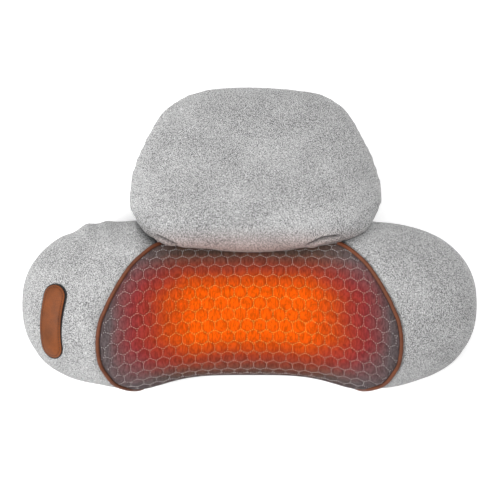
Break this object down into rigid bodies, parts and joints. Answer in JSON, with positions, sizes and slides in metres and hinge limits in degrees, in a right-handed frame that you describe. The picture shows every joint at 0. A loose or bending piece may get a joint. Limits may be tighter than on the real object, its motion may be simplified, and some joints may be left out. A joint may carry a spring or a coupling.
{
  "type": "shiatsu neck massager",
  "caption": "Bone-shaped massage pillow with a heated quilted panel, a folding head cushion and a worm-driven kneading mechanism inside.",
  "frame": {"origin": "centre of the bolster flat back, on the plane it rests on, midway between the two massage rotors", "axes": "+X along the bolster towards the wing without the button, +Y towards the head cushion, +Z out of the massage face"},
  "size_m": [0.43, 0.2871, 0.1053],
  "materials": {
    "melange": "heather knit",
    "mesh": "quilted mesh, warm glow",
    "piping_leather": "smooth leather look",
    "foam": "soft foam",
    "backing": "woven backing",
    "black_plastic": "fine grain",
    "nylon": "moulded nylon",
    "node_plastic": "satin",
    "steel": "turned",
    "bronze": "sintered",
    "board": "circuit board",
    "film": "heater film",
    "lead": "cable sheath"
  },
  "bodies": {
    "bolster": {"left_wing_cover": "melange", "right_wing_cover": "melange", "top_band": "melange", "cushion_hinge_strip": "melange", "massage_panel": "mesh", "left_piping": "piping_leather", "right_piping": "piping_leather", "left_foam": "foam", "centre_foam": "foam", "right_foam": "foam", "base_panel": "backing", "button_tray": "black_plastic", "tact_switch": "black_plastic", "housing_base": "black_plastic", "housing_cover": "black_plastic", "driver_chip": "black_plastic", "dc_socket": "black_plastic", "zip_tape_upper": "black_plastic", "zip_tape_lower": "black_plastic", "motor_end_cap": "nylon", "housing_screw_1": "steel", "housing_screw_2": "steel", "housing_screw_3": "steel", "housing_screw_4": "steel", "motor_can": "steel", "dc_socket_bezel": "steel", "left_lower_bush": "bronze", "left_upper_bush": "bronze", "right_lower_bush": "bronze", "right_upper_bush": "bronze", "worm_end_bearing": "bronze", "switch_board": "board", "control_board": "board", "heater_film": "film", "button_lead": "lead", "power_lead": "lead", "capacitor": "lead"},
    "head_cushion": {"cushion_front_cover": "melange", "cushion_back_cover": "melange", "cushion_foam": "foam"},
    "left_rotor": {"left_worm_wheel": "nylon", "left_output_shaft": "steel", "left_massage_arm": "nylon", "left_high_node": "node_plastic", "left_low_node": "node_plastic", "left_arm_screw": "steel"},
    "right_rotor": {"right_worm_wheel": "nylon", "right_output_shaft": "steel", "right_massage_arm": "nylon", "right_high_node": "node_plastic", "right_low_node": "node_plastic", "right_arm_screw": "steel"},
    "worm": {"worm_shaft": "steel"},
    "button": {"button_cap": "piping_leather"},
    "zip": {"zip_slider": "steel"}
  },
  "joints": [
    {"name": "left_rotor_spin", "type": "hinge", "parent": "bolster", "child": "left_rotor", "pos_m": [-0.037, 0, 0.03], "axis": [0, 0, 1], "continuous": true},
    {"name": "right_rotor_spin", "type": "hinge", "parent": "bolster", "child": "right_rotor", "pos_m": [0.037, 0, 0.03], "axis": [0, 0, 1], "continuous": true},
    {"name": "worm_spin", "type": "hinge", "parent": "bolster", "child": "worm", "pos_m": [0, 0, 0.022], "axis": [0, 1, 0], "continuous": true},
    {"name": "head_cushion_fold", "type": "hinge", "parent": "bolster", "child": "head_cushion", "pos_m": [0, 0.053, 0.088], "axis": [1, 0, 0], "range_deg": [0, 100]},
    {"name": "button_press", "type": "slide", "parent": "bolster", "child": "button", "axis": [0.435, 0, -0.9004], "range_m": [0, 0.0012], "stiffness_N_per_m": 800, "springref_m": -0.001},
    {"name": "zip_slide", "type": "slide", "parent": "bolster", "child": "zip", "axis": [-1, 0, 0], "range_m": [0, 0.14]}
  ],
  "couplings": [
    {"joint": "right_rotor_spin", "follows": "left_rotor_spin", "ratio": -1},
    {"joint": "worm_spin", "follows": "left_rotor_spin", "ratio": -30}
  ]
}
